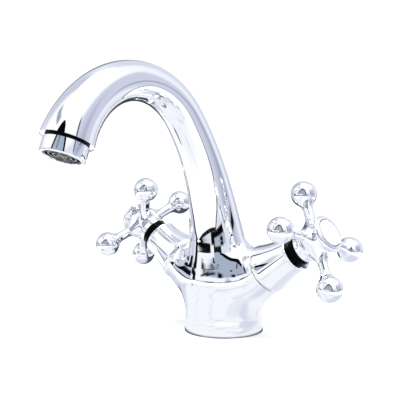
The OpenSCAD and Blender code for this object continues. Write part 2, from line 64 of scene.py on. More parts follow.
def pick(*objects):
    clearPick()
    for obj in objects:
        obj.select_set(True)
    bpy.context.view_layer.objects.active = objects[0]


def applyModifier(obj, kind, **settings):
    pick(obj)
    modifier = obj.modifiers.new(kind.lower(), kind)
    for key, value in settings.items():
        setattr(modifier, key, value)
    bpy.ops.object.modifier_apply(modifier=modifier.name)


def joinAs(name, objects):
    pick(*objects)
    bpy.ops.object.join()
    objects[0].name = name
    return objects[0]


def copyPiece(obj, name):
    twin = obj.copy()
    twin.data = obj.data.copy()
    bpy.context.scene.collection.objects.link(twin)
    twin.name = name
    return twin


def addedPiece(name):
    # what an operator has just added, with its place put into its mesh
    bpy.ops.object.transform_apply(location=True, rotation=True, scale=True)
    bpy.context.object.name = name
    return bpy.context.object


def putAt(obj, matrix):
    # the place goes into the mesh, so the object stays at the origin
    pick(obj)
    obj.matrix_world = matrix
    bpy.ops.object.transform_apply(location=True, rotation=True, scale=True)


def faceOutwards():
    bpy.ops.mesh.select_all(action="SELECT")
    bpy.ops.mesh.normals_make_consistent(inside=False)
    objectMode()


def addNode(tree, kind, settings=None, links=None):
    node = tree.nodes.new(kind)
    for key, value in (settings or {}).items():
        if isinstance(key, str) and key in node.bl_rna.properties:
            setattr(node, key, value)
        else:
            node.inputs[key].default_value = value
    for key, source in (links or {}).items():
        tree.links.new(source, node.inputs[key])
    return node


# Turned pieces: a circle is pulled up along its outline, ring by ring

crispAngle = 28  # edges that turn by more than this stay crisp


def turnPiece(name, outline, sides, ring=False):
    # the outline holds (radius, height); a ring is closed through its bore, anything else by two end faces
    clearPick()
    points = [(r / 1000, z / 1000) for r, z in outline]
    bpy.ops.mesh.primitive_circle_add(vertices=sides, radius=points[0][0], location=(0, 0, points[0][1]))
    obj = addedPiece(name)
    editMode("EDGE")
    bpy.ops.mesh.select_all(action="SELECT")
    for (rOld, zOld), (r, z) in zip(points, points[1:]):
        bpy.ops.mesh.extrude_region_move(TRANSFORM_OT_translate={"value": (0, 0, z - zOld)})
        bpy.ops.transform.resize(value=(r / rOld, r / rOld, 1), center_override=(0, 0, z))
    if not ring:
        bpy.ops.mesh.edge_face_add()
    bpy.ops.mesh.select_all(action="DESELECT")
    bpy.ops.mesh.select_non_manifold()
    if ring:
        bpy.ops.mesh.bridge_edge_loops()
    else:
        bpy.ops.mesh.edge_face_add()
    faceOutwards()
    bpy.ops.object.shade_smooth_by_angle(angle=math.radians(crispAngle))
    return obj


def arcPoints(centre, radius, start, end, steps):
    angles = [math.radians(start + (end - start) * k / steps) for k in range(steps + 1)]
    return [(centre[0] + radius * math.cos(a), centre[1] + radius * math.sin(a)) for a in angles]


def blendLine(a, slopeA, b, slopeB, t):
    return (a * (2 * t ** 3 - 3 * t * t + 1) + b * (3 * t * t - 2 * t ** 3)
            + slopeA * (t ** 3 - 2 * t * t + t) + slopeB * (t ** 3 - t * t))


def steppedLine(knots, at):
    # knots are (place, value, slope); the value between them follows a smooth curve
    for (x0, v0, s0), (x1, v1, s1) in zip(knots, knots[1:]):
        if at <= x1 or x1 == knots[-1][0]:
            span = x1 - x0
            return blendLine(v0, s0 * span, v1, s1 * span, (at - x0) / span)


# Surfaces given by a height function: zero on the skin, above zero outside, in millimetres

settlePlan = {"probe": 0.02, "leastSlope": 0.05, "longestMove": 1.0, "firstRounds": 3, "lastRounds": 4,
              "smoothing": 0.5, "smoothRounds": 3, "onSkin": 0.05, "sameWay": 0.8}


def meshPoints(mesh):
    # the vertices, in millimetres
    co = np.empty(len(mesh.vertices) * 3)
    mesh.vertices.foreach_get("co", co)
    return co.reshape(-1, 3) * 1000


def gradientOf(height, points):
    step = settlePlan["probe"]
    parts = [(height(points + step * axis) - height(points - step * axis)) / (2 * step) for axis in np.eye(3)]
    return height(points), np.stack(parts, 1)


def settle(obj, height, rounds):
    points = meshPoints(obj.data)
    for turn in range(rounds):
        value, slope = gradientOf(height, points)
        move = slope * (value / np.maximum((slope * slope).sum(1), settlePlan["leastSlope"]))[:, None]
        tooFar = np.maximum(1, np.linalg.norm(move, axis=1) / settlePlan["longestMove"])
        points = points - move / tooFar[:, None]
    obj.data.vertices.foreach_set("co", (points / 1000).ravel())
    obj.data.update()


def meshOnto(obj, height, voxel):
    # rough forms become one even mesh that lies on the height function
    p = settlePlan
    applyModifier(obj, "REMESH", mode="VOXEL", voxel_size=voxel / 1000)
    settle(obj, height, p["firstRounds"])
    applyModifier(obj, "SMOOTH", factor=p["smoothing"], iterations=p["smoothRounds"])
    settle(obj, height, p["lastRounds"])


def skinNormals(obj, height):
    # the shading normal of each corner comes from the height function, and cut faces keep their own
    mesh = obj.data
    value, slope = gradientOf(height, meshPoints(mesh))
    smooth = slope / np.linalg.norm(slope, axis=1)[:, None]
    loopVertex = np.empty(len(mesh.loops), np.int32)
    mesh.loops.foreach_get("vertex_index", loopVertex)
    faceNormal = np.empty(len(mesh.polygons) * 3)
    mesh.polygons.foreach_get("normal", faceNormal)
    sizes = np.empty(len(mesh.polygons), np.int32)
    mesh.polygons.foreach_get("loop_total", sizes)
    own = faceNormal.reshape(-1, 3)[np.repeat(np.arange(len(mesh.polygons)), sizes)]
    wanted = smooth[loopVertex]
    agree = (own * wanted).sum(1) > settlePlan["sameWay"]
    onSkin = np.abs(value[loopVertex]) < settlePlan["onSkin"]
    normals = np.where((agree & onSkin)[:, None], wanted, own)
    mesh.polygons.foreach_set("use_smooth", np.ones(len(mesh.polygons), bool))
    mesh.normals_split_custom_set(normals.astype(np.float32))
    mesh.update()


def softUnion(a, b, reach):
    # two height functions joined with a fillet of about that radius
    u, v = np.maximum(reach - a, 0), np.maximum(reach - b, 0)
    return np.where((u > 0) & (v > 0), reach - np.sqrt(u * u + v * v), np.minimum(a, b))


# Where the two valves are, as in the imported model

valvePlan = {"axisHeight": 22.2, "tilt": 31, "armLength": 38.4, "coldTurn": -18.4, "hotTurn": 26.9}


def armPlace(sign, along):
    # a place on an arm's axis, with z along it
    return (Matrix.Translation((0, 0, valvePlan["axisHeight"] / 1000))
            @ Matrix.Rotation(math.radians(sign * (90 - valvePlan["tilt"])), 4, "Y")
            @ Matrix.Translation((0, 0, along / 1000)))


def valvePlace(side, turned=False):
    sign = 1 if side == "cold" else -1
    turn = (valvePlan["coldTurn"] if side == "cold" else -valvePlan["hotTurn"]) if turned else 0
    return armPlace(sign, valvePlan["armLength"]) @ Matrix.Rotation(math.radians(turn), 4, "Z")


# Body and spout: one polished skin, because the brazed joint is ground flush

skinPlan = {
    # foot, front line and back line of the trunk: height, distance from the foot's axis, slope
    "foot": [(0, 25.0, 0), (2, 25.0, 0), (16, 24.2, 0), (17, 24.2, 0)],
    "front": [(17, 24.2, 0), (36.5, 27.75, 0), (42, 27.25, -0.14),
              (50, 26.05, -0.14), (55, 25.5, -0.035), (62, 25.33, 0.01)],
    "back": [(17, 24.2, 0), (31, 21.2, -0.36), (46, 14.6, -0.44), (62, 8.87, -0.30)],
    "neckAt": (8.6, 62.0), "neckRadius": 17.1, "neckLean": 7.2, "leanGain": 1.6,
    "neckPull": 0.37, "pullLength": 15.0,
    "riserBend": 146.0, "archLean": 38.4, "archBend": 55.0, "outletLean": 156.5,
    "slimRadius": 11.05, "taperEnd": 0.9, "taperPower": 4.77,
    "collarRadius": 15.0, "swellStart": 0.51, "swellPower": 2.55,
    "stationGap": 0.25, "pastEnds": 4.0,  # the straight runs past both ends are cut off again
    "armRadius": 15.0, "armFlare": 5.5, "armFlarePower": 1.4, "armRoot": 28.0, "armDeepest": 1.3,
    "filletLow": 5.0, "filletHigh": 11.0, "filletFrom": 25.0, "filletTo": 45.0,
    # rough forms and the even mesh made of them
    "ringStep": 24, "ringSides": 40, "leastTurn": 1e-6,
    "roughArm": (21.5, 15.0, 37.0), "roughArmPast": 3.0, "roughArmSides": 48, "voxel": 0.75,
    # the way to the nearest station: first a coarse look, then a few steps along the path
    "lookStep": 6, "lookBatch": 20000, "stepRounds": 4, "longestStep": 8, "leastRate": 1e-6,
    # ends: how far from its middle an end reaches, and for the arms the socket's rim and depth
    "armEnd": (16.5, 4.8, 22.0), "outletEnd": 17.5, "footEnd": 30.0,
    # cuts, which all start "overcut" outside: two radii and depth of the groove; x, y, radius and depth of
    # the tappings; radius and depth of the pocket
    "groove": (19.2, 23.2, 2.1), "tappings": ((9.5, 0, 4.5, 27.2), (-9.5, 0, 4.5, 27.2), (0, -13, 3.4, 12)),
    "pocket": (12.0, 9.0), "overcut": 1.0, "holeSides": 40, "roundSides": 96,
}


def skinStations():
    # rows of (forward, height, lean, radius) up the trunk and along the spout, and the row at the outlet
    p = skinPlan
    gap, footTop, neckTop = p["stationGap"], p["foot"][-1][0], p["neckAt"][1]
    rows = []
    for z in np.arange(-p["pastEnds"], footTop, gap):
        rows.append((0.0, z, 0.0, steppedLine(p["foot"], max(z, 0.0))))
    for z in np.arange(footTop, neckTop, gap):
        front, back = steppedLine(p["front"], z), steppedLine(p["back"], z)
        lean = p["neckLean"] * min(1, p["leanGain"] * (z - footTop) / (neckTop - footTop))
        rows.append(((front - back) / 2, z, lean, (front + back) / 2))
    riserLean, archLean = math.radians(p["neckLean"]), math.radians(p["archLean"])
    riserLength = p["riserBend"] * math.radians(p["archLean"] - p["neckLean"])
    total = riserLength + p["archBend"] * math.radians(p["outletLean"] - p["archLean"])
    riserCentre = (p["neckAt"][0] + p["riserBend"] * math.cos(riserLean),
                   p["neckAt"][1] - p["riserBend"] * math.sin(riserLean))
    tighter = p["archBend"] - p["riserBend"]
    archCentre = (riserCentre[0] + tighter * math.cos(archLean), riserCentre[1] - tighter * math.sin(archLean))
    for s in np.arange(0, total, gap):
        u = s / total
        taper = (p["neckRadius"] - p["slimRadius"]) * max(0, 1 - u / p["taperEnd"]) ** p["taperPower"]
        opening = max(0, (u - p["swellStart"]) / (1 - p["swellStart"]))
        swell = (p["collarRadius"] - p["slimRadius"]) * opening ** p["swellPower"]
        if s < riserLength:
            a, centre, bend = riserLean + s / p["riserBend"], riserCentre, p["riserBend"]
        else:
            a, centre, bend = archLean + (s - riserLength) / p["archBend"], archCentre, p["archBend"]
        pull = p["neckPull"] * max(0, 1 - s / p["pullLength"]) ** 2
        rows.append((centre[0] - bend * math.cos(a) - pull, centre[1] + bend * math.sin(a), math.degrees(a),
                     p["slimRadius"] + taper + swell))
    end = rows[-1]
    a = math.radians(end[2])
    for extra in np.arange(gap, p["pastEnds"], gap):
        rows.append((end[0] + extra * math.sin(a), end[1] + extra * math.cos(a), end[2], end[3]))
    return np.array(rows), end


stations, outletRow = skinStations()
stationLean = np.radians(stations[:, 2])
stationAlong = np.stack([np.sin(stationLean), np.cos(stationLean)], 1)


def between(rows, place):
    # what the rows say at a place between two of them, and how much they change there from row to row
    low = np.clip(np.floor(place).astype(int), 0, len(rows) - 2)
    share = (place - low)[:, None]
    return rows[low] * (1 - share) + rows[low + 1] * share, rows[low + 1] - rows[low]


def tubeHeight(points):
    p = skinPlan
    flat = np.stack([-points[:, 1], points[:, 2]], 1)
    coarse = stations[::p["lookStep"]]
    nearest = np.empty(len(points), int)
    for start in range(0, len(points), p["lookBatch"]):
        part = flat[start:start + p["lookBatch"]]
        apart = (part[:, None, 0] - coarse[None, :, 0]) ** 2 + (part[:, None, 1] - coarse[None, :, 1]) ** 2
        nearest[start:start + p["lookBatch"]] = apart.argmin(1) * p["lookStep"]
    place = np.clip(nearest, 1, len(stations) - 2).astype(float)
    last = len(stations) - 1.001  # just short of the last station
    for turn in range(p["stepRounds"]):
        row, rowStep = between(stations, place)
        along, alongStep = between(stationAlong, place)
        off = flat - row[:, :2]
        rate = -(rowStep[:, :2] * along).sum(1) + (off * alongStep).sum(1)
        move = (off * along).sum(1) / np.where(np.abs(rate) < p["leastRate"], -p["leastRate"], rate)
        place = np.clip(place - np.clip(move, -p["longestStep"], p["longestStep"]), 0, last)
    row = between(stations, place)[0]
    return np.sqrt(((flat - row[:, :2]) ** 2).sum(1) + points[:, 0] ** 2) - row[:, 3]


def armHeight(points, side):
    # a turned form that flares towards its root and is rounded off inside the trunk
    p = skinPlan
    tilt, end = math.radians(valvePlan["tilt"]), valvePlan["armLength"]
    x, z = points[:, 0] * side, points[:, 2] - valvePlan["axisHeight"]
    along = x * math.cos(tilt) + z * math.sin(tilt)
    across = -x * math.sin(tilt) + z * math.cos(tilt)
    depth = np.clip((end - along) / p["armRoot"], 0, p["armDeepest"])
    behind = np.maximum(end - p["armDeepest"] * p["armRoot"] - along, 0)
    radius = p["armRadius"] + p["armFlare"] * depth ** p["armFlarePower"]
    return np.sqrt(across ** 2 + points[:, 1] ** 2 + behind ** 2) - radius


def skinHeight(points):
    p = skinPlan
    rise = np.clip((points[:, 2] - p["filletFrom"]) / (p["filletTo"] - p["filletFrom"]), 0, 1)
    reach = p["filletLow"] + (p["filletHigh"] - p["filletLow"]) * rise
    shape = softUnion(tubeHeight(points), armHeight(points, 1), reach)
    return softUnion(shape, armHeight(points, -1), reach)


def outletPlace():
    return (Matrix.Translation((0, -outletRow[0] / 1000, outletRow[1] / 1000))
            @ Matrix.Rotation(math.radians(outletRow[2]), 4, "X"))


def cutEnd(obj, place, axis, reach, socketRim=0, socketDepth=0):
    # cuts the end round a place square to its axis, and can sink a round socket into the cut face
    objectMode()
    for face in obj.data.polygons:
        face.select = (face.center - place).length < reach / 1000
    editMode("FACE")
    bpy.ops.mesh.bisect(plane_co=place, plane_no=axis, use_fill=True, clear_outer=True)
    objectMode()
    cut = max(obj.data.polygons, key=lambda f: f.area if (f.center - place).length < reach / 1000 else 0)
    for face in obj.data.polygons:
        face.select = face.index == cut.index
    editMode("FACE")
    if socketDepth:
        bpy.ops.mesh.inset(thickness=socketRim / 1000, depth=0)
        bpy.ops.mesh.extrude_region_move(TRANSFORM_OT_translate={"value": tuple(-axis * socketDepth / 1000)})
    objectMode()


def roughTube():
    # trunk and spout: a disc pulled along the stations, turned and resized on its way
    p = skinPlan
    rings = stations[::p["ringStep"]]
    clearPick()
    bpy.ops.mesh.primitive_circle_add(vertices=p["ringSides"], radius=rings[0][3] / 1000, fill_type="NGON",
                                      location=(0, -rings[0][0] / 1000, rings[0][1] / 1000))
    tube = addedPiece("tube")
    editMode("VERT")
    bpy.ops.mesh.select_all(action="SELECT")
    for old, new in zip(rings, rings[1:]):
        move = (0, -(new[0] - old[0]) / 1000, (new[1] - old[1]) / 1000)
        centre = (0, -new[0] / 1000, new[1] / 1000)
        turn = math.radians(new[2] - old[2])
        bpy.ops.mesh.extrude_region_move(TRANSFORM_OT_translate={"value": move})
        if abs(turn) > math.radians(p["leastTurn"]):
            bpy.ops.transform.rotate(value=-turn, orient_axis="X", center_override=centre)
        bpy.ops.transform.resize(value=(new[3] / old[3],) * 3, center_override=centre)
    faceOutwards()
    return tube


def roughArm(sign):
    p = skinPlan
    wide, slim, length = p["roughArm"]
    clearPick()
    bpy.ops.mesh.primitive_cone_add(vertices=p["roughArmSides"], radius1=wide / 1000, radius2=slim / 1000,
                                    depth=length / 1000)
    arm = bpy.context.object
    putAt(arm, armPlace(sign, valvePlan["armLength"] + p["roughArmPast"] - length / 2))
    return arm


def skinCutter():
    # groove and tappings under the foot, and the pocket of the aerator
    p = skinPlan
    over = p["overcut"]
    inner, outer, depth = p["groove"]
    cutters = [turnPiece("cutter", [(inner, -over), (outer, -over), (outer, depth), (inner, depth)],
                         p["roundSides"], ring=True)]
    holes = [(radius, depth, p["holeSides"], Matrix.Translation((x / 1000, y / 1000, (depth - over) / 2 / 1000)))
             for x, y, radius, depth in p["tappings"]]
    radius, depth = p["pocket"]
    pocketPlace = outletPlace() @ Matrix.Translation((0, 0, (over - depth) / 2 / 1000))
    for radius, depth, sides, place in [*holes, (radius, depth, p["roundSides"], pocketPlace)]:
        clearPick()
        bpy.ops.mesh.primitive_cylinder_add(vertices=sides, radius=radius / 1000, depth=(depth + over) / 1000)
        hole = bpy.context.object
        putAt(hole, place)
        cutters.append(hole)
    return joinAs("cutter", cutters)


def makeSkin():
    p = skinPlan
    skin = joinAs("tapSkin", [roughTube(), roughArm(1), roughArm(-1)])
    meshOnto(skin, skinHeight, p["voxel"])
    for sign in (1, -1):
        place = armPlace(sign, valvePlan["armLength"])
        cutEnd(skin, place.translation, place.col[2].to_3d(), *p["armEnd"])
    outlet = outletPlace()
    cutEnd(skin, outlet.translation, outlet.col[2].to_3d(), p["outletEnd"])
    cutEnd(skin, Vector((0, 0, 0)), Vector((0, 0, -1)), p["footEnd"])
    cutter = skinCutter()
    applyModifier(skin, "BOOLEAN", operation="DIFFERENCE", object=cutter, solver="EXACT")
    bpy.data.objects.remove(cutter)
    skinNormals(skin, skinHeight)
    return skin


skin = makeSkin()
print("skin made,", len(skin.data.polygons), "faces")


# Cross handle: one polished casting with four ball-ended arms, and a rim round the button

handlePlan = {
    "reach": 31.5, "ballRadius": 7.8, "neckRadius": 3.0, "neckAt": 20.0, "web": 5.5,
    "hubRadius": 10.6, "bodyRadius": 9.3, "hubFillet": 1.2, "armsAt": 41.2,
    "skirt": 10.3, "crown": 7.2, "endReach": 10.2, "socketRim": 1.6, "socketDepth": 6.5,
    # rough forms: an arm's start, its curved part, its ball's start and rings, how short of the ball's end
    # they stop and the radius left there, and the hub's heights
    "barFrom": 2.0, "barCurve": (19, 25, 1.0), "ballFrom": 5.4, "ballRings": 14, "tip": (0.01, 0.3),
    "roughHub": (-12.0, -5.5, -1.5, 1.5, 5.5, 8.4), "barSides": 32, "hubSides": 64, "leastRoot": 0.01,
    "voxel": 0.42,
}
rimPlan = {
    "below": [(7.6, 5.6), (9.2, 6.2), (9.35, 6.9), (10.3, 7.15)],
    "beadAt": (9.8, 8.8), "beadRadius": 1.6, "beadArc": (-60, 80, 10),
    "bore": [(8.9, 10.7), (8.7, 10.5), (8.7, 8.3), (7.6, 8.3)], "sides": 128,
    "shadedRadii": (7.5, 8.75), "shadedHeights": (8.2, 10.45),  # painted shade between these radii and heights
}


def armOutline(x):
    # radius of an arm between neck and ball, and where it meets the ball
    p = handlePlan
    gap = p["reach"] - p["neckAt"]
    wider = p["ballRadius"] - p["neckRadius"]
    rounding = (p["neckRadius"] ** 2 + gap ** 2 - p["ballRadius"] ** 2) / (2 * wider)
    inside = np.clip(x - p["neckAt"], 0, None)
    curve = p["neckRadius"] + rounding - np.sqrt(np.maximum(rounding ** 2 - inside ** 2, p["leastRoot"]))
    return curve, p["neckAt"] + gap * rounding / (rounding + p["ballRadius"])


def crossHeight(points):
    p = handlePlan
    x, y, z = np.abs(points[:, 0]), np.abs(points[:, 1]), points[:, 2]
    hub = np.sqrt(x * x + y * y + z * z) - p["hubRadius"]
    total = softUnion(hub, np.sqrt(x * x + y * y) - p["bodyRadius"], p["hubFillet"])
    for out, side in ((x, y), (y, x)):
        thick = np.sqrt(side ** 2 + z * z)
        curve, meet = armOutline(out)
        bar = np.where(out < meet, thick - curve, np.inf)
        ball = np.sqrt((out - p["reach"]) ** 2 + side ** 2 + z * z) - p["ballRadius"]
        total = softUnion(total, np.minimum(bar, ball), p["web"])
    return total


def roughBar():
    # one arm with its ball, turned about its own length
    p = handlePlan
    short, slim = p["tip"]
    outline = [(p["neckRadius"], p["barFrom"])]
    for s in np.arange(*p["barCurve"]):
        outline.append((float(armOutline(np.array([s]))[0][0]), s))
    for s in np.linspace(p["reach"] - p["ballFrom"], p["reach"] + p["ballRadius"] - short, p["ballRings"]):
        outline.append((math.sqrt(max(p["ballRadius"] ** 2 - (s - p["reach"]) ** 2, slim ** 2)), s))
    return turnPiece("bar", outline, p["barSides"])


def makeCross():
    p = handlePlan
    bar = roughBar()
    arms = []
    for k in range(4):
        arm = copyPiece(bar, "bar")
        putAt(arm, Matrix.Rotation(math.radians(90 * k), 4, "Z") @ Matrix.Rotation(math.radians(90), 4, "Y"))
        arms.append(arm)
    bpy.data.objects.remove(bar)
    body, ball = p["bodyRadius"], p["hubRadius"]
    hub = turnPiece("hub", list(zip((body, body, ball, ball, body, body), p["roughHub"])), p["hubSides"])
    cross = joinAs("cross", [hub, *arms])
    meshOnto(cross, crossHeight, p["voxel"])
    cutEnd(cross, Vector((0, 0, -p["skirt"] / 1000)), Vector((0, 0, -1)), p["endReach"],
           p["socketRim"], p["socketDepth"])
    cutEnd(cross, Vector((0, 0, p["crown"] / 1000)), Vector((0, 0, 1)), p["endReach"])
    skinNormals(cross, crossHeight)
    return cross


def handlePlace(side):
    return valvePlace(side, True) @ Matrix.Translation((0, 0, handlePlan["armsAt"] / 1000))


def makeHandles():
    p = rimPlan
    cross = makeCross()
    bead = arcPoints(p["beadAt"], p["beadRadius"], *p["beadArc"])
    rim = turnPiece("rim", p["below"] + bead + p["bore"], p["sides"], ring=True)
    handles = []
    for side in ("hot", "cold"):
        pieces = [copyPiece(cross, side + "Cross"), copyPiece(rim, side + "Rim")]
        for piece in pieces:
            putAt(piece, handlePlace(side))
        handles.append(joinAs(side + "HandleShell", pieces))
    bpy.data.objects.remove(cross)
    bpy.data.objects.remove(rim)
    return handles


hotHandle, coldHandle = makeHandles()
print("handles made")


# Bell covers, gland rings and buttons, turned

bellPlan = {
    "length": 25.0, "wide": 15.4, "wideAt": 2.6, "rim": 11.6, "sag": 0.9, "steps": 24, "sides": 144,
    "hem": [(12.6, 0.15), (14.6, 0.15), (14.9, 0.35), (15.15, 0.9), (15.32, 1.7)],
    # in from the rim and down from the top
    "neck": (0.25, 1.5), "lip": [(0.05, 1.2), (0, 0.8), (0.12, 0.3), (0.5, 0)],
    "bore": [(9.3, 25.0), (9.1, 24.8), (9.1, 22.8), (8.2, 22.8), (8.2, 16.2), (12.6, 3.0)],
}
glandPlan = {
    "outline": [(7.1, 23.0), (9.0, 23.0), (9.0, 27.7), (8.7, 28.0), (8.7, 28.15), (9.0, 28.45), (9.0, 30.1),
                (8.85, 30.4), (8.6, 30.5), (7.1, 30.5)],
    "sides": 128,
}
buttonPlan = {
    "radius": 8.25, "floor": 49.6, "top": 52.0, "dome": 0.5, "edge": 0.5, "pole": 0.25, "sink": 0.02,
    # in from the radius, and up from the floor or down from the top
    "side": [(0.2, 0), (0, 0.2)], "shoulder": [(0, 0.25), (0.15, 0.02)], "steps": 12, "sides": 128,
}


def bellOutline():
    p = bellPlan
    low, high, neck = p["wideAt"], p["length"] - p["neck"][1], p["rim"] - p["neck"][0]
    flank = []
    for k in range(p["steps"] + 1):
        t = k / p["steps"]
        straight = p["wide"] + (neck - p["wide"]) * t
        flank.append((straight - 4 * p["sag"] * t * (1 - t), low + (high - low) * t))
    lip = [(p["rim"] - inwards, p["length"] - down) for inwards, down in p["lip"]]
    return p["hem"] + flank + lip + p["bore"]


def buttonOutline():
    p = buttonPlan
    bend = (p["radius"] ** 2 + p["dome"] ** 2) / (2 * p["dome"])
    face = []
    for k in range(p["steps"] + 1):
        r = (p["radius"] - p["edge"]) * (1 - k / p["steps"]) + p["pole"] * k / p["steps"]
        face.append((r, p["top"] + p["dome"] - bend + math.sqrt(bend ** 2 - r * r) - p["sink"]))
    side = [(p["radius"] - inwards, p["floor"] + up) for inwards, up in p["side"]]
    shoulder = [(p["radius"] - inwards, p["top"] - down) for inwards, down in p["shoulder"]]
    return [(p["pole"], p["floor"])] + side + shoulder + face


def turnedPair(name, outline, sides, ring=True):
    piece = turnPiece(name, outline, sides, ring)
    pair = []
    for side in ("hot", "cold"):
        twin = copyPiece(piece, side + name)
        putAt(twin, valvePlace(side))
        pair.append(twin)
    bpy.data.objects.remove(piece)
    return pair


hotBell, coldBell = turnedPair("BellShell", bellOutline(), bellPlan["sides"])
hotGland, coldGland = turnedPair("GlandBand", glandPlan["outline"], glandPlan["sides"])
hotButton, coldButton = turnedPair("ButtonCap", buttonOutline(), buttonPlan["sides"], ring=False)
print("bell covers, gland rings and buttons made")


# Aerator: a turned sleeve that stands out of the outlet's collar on a narrower neck

outletPlan = {
    "sleeveRadius": 12.45, "sleeveLength": 8.5, "neckRadius": 11.95, "neckDepth": 8.0, "boreRadius": 10.5,
    "gap": 0.2, "chamfer": 0.2, "ledge": 1.2, "sides": 144,
    # in from the sleeve's radius, back from its mouth
    "lip": [(0, 0.8), (0.1, 0.4), (0.35, 0.1), (0.8, 0), (1.6, 0), (2.0, 0.25), (2.1, 0.7)],
    "shadedRadii": (11.65, 20.0), "shadedHeights": (-9.0, 0.15),  # painted shade between these radii and heights
}


def makeAerator():
    p = outletPlan
    radius, length, gap, chamfer = p["sleeveRadius"], p["sleeveLength"], p["gap"], p["chamfer"]
    outline = [(p["boreRadius"], -p["neckDepth"]), (p["neckRadius"], -p["neckDepth"]), (p["neckRadius"], gap),
               (radius - chamfer, gap), (radius, gap + chamfer)]
    outline += [(radius - inwards, length - back) for inwards, back in p["lip"]]
    outline.append((p["boreRadius"], length - p["ledge"]))
    sleeve = turnPiece("aeratorSleeve", outline, p["sides"], ring=True)
    putAt(sleeve, outletPlace())
    return sleeve


sleeve = makeAerator()
print("aerator made")


# Materials

def startMaterial(name):
    material = bpy.data.materials.new(name)
    material.use_nodes = True
    tree = material.node_tree
    return material, tree, tree.nodes["Principled BSDF"]


chromePlan = {"tint": "#F4F5F8", "ripplesPerMetre": 60.0, "rippleStrength": 0.02, "rippleDepth": 0.2,
              "hazePerMetre": 900.0, "rough": (0.015, 0.05)}


def polishedChrome(name):
    # electroplated chrome on polished brass: a cold white mirror with the faintest ripple from the polishing
    # wheel, about 17 mm long, and a haze of 1 mm that is coarser than the real one
    p = chromePlan
    material, tree, shader = startMaterial(name)
    place = addNode(tree, "ShaderNodeTexCoord").outputs["Object"]
    ripple = addNode(tree, "ShaderNodeTexNoise", {"Scale": p["ripplesPerMetre"], "Detail": 2.0}, {"Vector": place})
    haze = addNode(tree, "ShaderNodeTexNoise", {"Scale": p["hazePerMetre"], "Detail": 3.0}, {"Vector": place})
    rough = addNode(tree, "ShaderNodeMapRange", {"To Min": p["rough"][0], "To Max": p["rough"][1]},
                    {"Value": haze.outputs["Fac"]})
    bump = addNode(tree, "ShaderNodeBump", {"Strength": p["rippleStrength"], "Distance": p["rippleDepth"] / 1000},
                   {"Height": ripple.outputs["Fac"]})
    shader.inputs["Base Color"].default_value = linear(p["tint"])
    shader.inputs["Metallic"].default_value = 1.0
    tree.links.new(rough.outputs["Result"], shader.inputs["Roughness"])
    tree.links.new(bump.outputs["Normal"], shader.inputs["Normal"])
    return material


def plainFinish(name, light, dark, rough, metallic, grain, bumpStrength=0.05, gloss=0.5):
    # a base colour with a fine variation of its own, grain being the size of it in millimetres
    material, tree, shader = startMaterial(name)
    place = addNode(tree, "ShaderNodeTexCoord").outputs["Object"]
    noise = addNode(tree, "ShaderNodeTexNoise", {"Scale": 1000.0 / grain, "Detail": 4.0},
                    {"Vector": place}).outputs["Fac"]
    colour = addNode(tree, "ShaderNodeMix", {"data_type": "RGBA", 6: linear(dark), 7: linear(light)}, {0: noise})
    roughness = addNode(tree, "ShaderNodeMapRange", {"To Min": rough - 0.05, "To Max": rough + 0.05},
                        {"Value": noise})
    bump = addNode(tree, "ShaderNodeBump", {"Strength": bumpStrength, "Distance": 0.0001}, {"Height": noise})
    shader.inputs["Metallic"].default_value = metallic
    shader.inputs["Specular IOR Level"].default_value = gloss
    tree.links.new(colour.outputs[2], shader.inputs["Base Color"])
    tree.links.new(roughness.outputs["Result"], shader.inputs["Roughness"])
    tree.links.new(bump.outputs["Normal"], shader.inputs["Normal"])
    return material


# light and dark tone, roughness, metallic and grain, then bump and gloss where they are not the usual ones
finishes = {
    "chrome": polishedChrome("platedChrome"),
    # moulded ABS: an even, slightly warm white with a soft gloss
    "button_white": plainFinish("mouldedWhiteAbs", "#FBFBFA", "#F4F4F2", 0.22, 0.0, 1.5),
    # moulded black acetal: deep black, waxy, with hardly a highlight
    "gland_plastic": plainFinish("mouldedBlackAcetal", "#050506", "#020203", 0.1, 0.0, 0.8, 0.01, 0.03),
    # acetal turned from the bar: milky white and half matt
    "washer_plastic": plainFinish("turnedAcetal", "#F1F1EC", "#E6E6E0", 0.4, 0.0, 0.8),
    # brass as it comes from the lathe: warm yellow, bright but not polished
    "valve_brass": plainFinish("turnedBrass", "#D8B56A", "#C9A255", 0.3, 1.0, 0.5),
    # sintered alumina: dense off-white, satin, and glossier where it is lapped finer
    "fixed_disc": plainFinish("sinteredAlumina", "#F0EEE8", "#E7E4DC", 0.35, 0.0, 0.5),
    "turning_disc": plainFinish("sinteredAluminaFine", "#F6F5F2", "#EDEBE6", 0.3, 0.0, 0.5),
    # moulded rubber: matt black with a slight bloom
    "gasket_rubber": plainFinish("mouldedRubber", "#1C1C1E", "#141416", 0.6, 0.0, 0.6),
    # pressed stainless steel: mid grey and lightly brushed, with a broad highlight
    "grille_steel": plainFinish("pressedStainless", "#6C7077", "#54585F", 0.25, 1.0, 0.4),
    # stainless steel deep inside the outlet: dull, and near black as painted shade
    "insert_steel": plainFinish("recessShadeStainless", "#1C1D20", "#141518", 0.45, 1.0, 0.4),
}


def dress(obj, slotName, body):
    obj.data.materials.clear()
    obj.data.materials.append(finishes[slotName])
    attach(obj, body)


placements = [
    (skin, "chrome", "tap_body", ("body_casting", "spout_casting")),
    (hotHandle, "chrome", "hot_control", ("hot_handle",)),
    (coldHandle, "chrome", "cold_control", ("cold_handle",)),
    (hotBell, "chrome", "tap_body", ("hot_bell_cover",)),
    (coldBell, "chrome", "tap_body", ("cold_bell_cover",)),
    (hotGland, "gland_plastic", "tap_body", ("hot_gland_ring",)),
    (coldGland, "gland_plastic", "tap_body", ("cold_gland_ring",)),
    (hotButton, "button_white", "hot_control", ("hot_index_button",)),
    (coldButton, "button_white", "cold_control", ("cold_index_button",)),
    (sleeve, "chrome", "tap_body", ("aerator_housing",)),
]
for piece, slotName, body, nodes in placements:
    dress(piece, slotName, body)
    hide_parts(*nodes)
